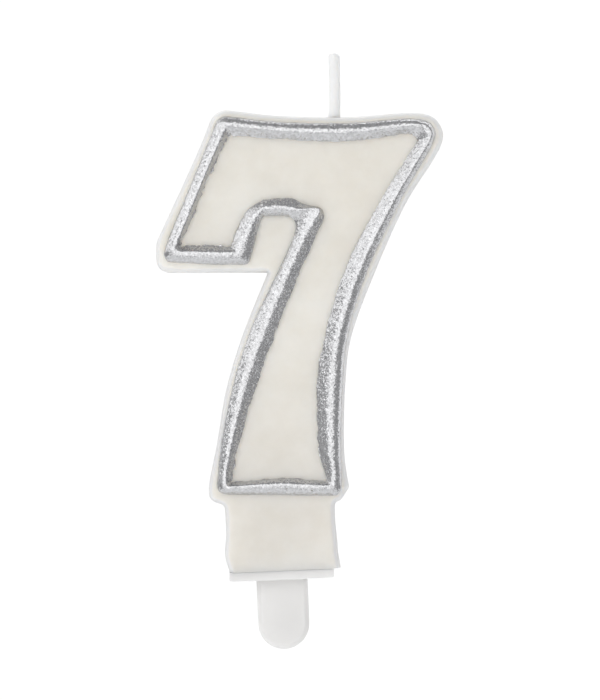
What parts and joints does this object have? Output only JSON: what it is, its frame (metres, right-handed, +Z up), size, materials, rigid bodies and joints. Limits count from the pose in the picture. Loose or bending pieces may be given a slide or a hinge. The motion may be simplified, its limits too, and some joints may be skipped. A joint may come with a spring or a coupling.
{
  "type": "number birthday candle",
  "caption": "Cast wax numeral seven with a raised silver edge, a wick in its top bar and a flat plastic cake pick plugged into its stem.",
  "frame": {"origin": "centre of the cross plate's underside, where the pick meets the icing", "axes": "+Z up the numeral, +X to its reader's right, and the face that is read looks along -Y"},
  "size_m": [0.0469, 0.0116, 0.0975],
  "materials": {
    "wax": "ivory paraffin wax, satin",
    "silver_paint": "fine silver glitter",
    "wick_cotton": "waxed braided cotton",
    "pick_plastic": "milky translucent plastic"
  },
  "bodies": {
    "holder": {"holder": "pick_plastic"},
    "candle": {"wax_body": "wax", "silver_outline_front": "silver_paint", "silver_outline_back": "silver_paint", "wick": "wick_cotton"}
  },
  "joints": [
    {"name": "candle_lift", "type": "slide", "parent": "holder", "child": "candle", "axis": [-0.0419, 0, 0.9991], "range_m": [0, 0.012]}
  ]
}
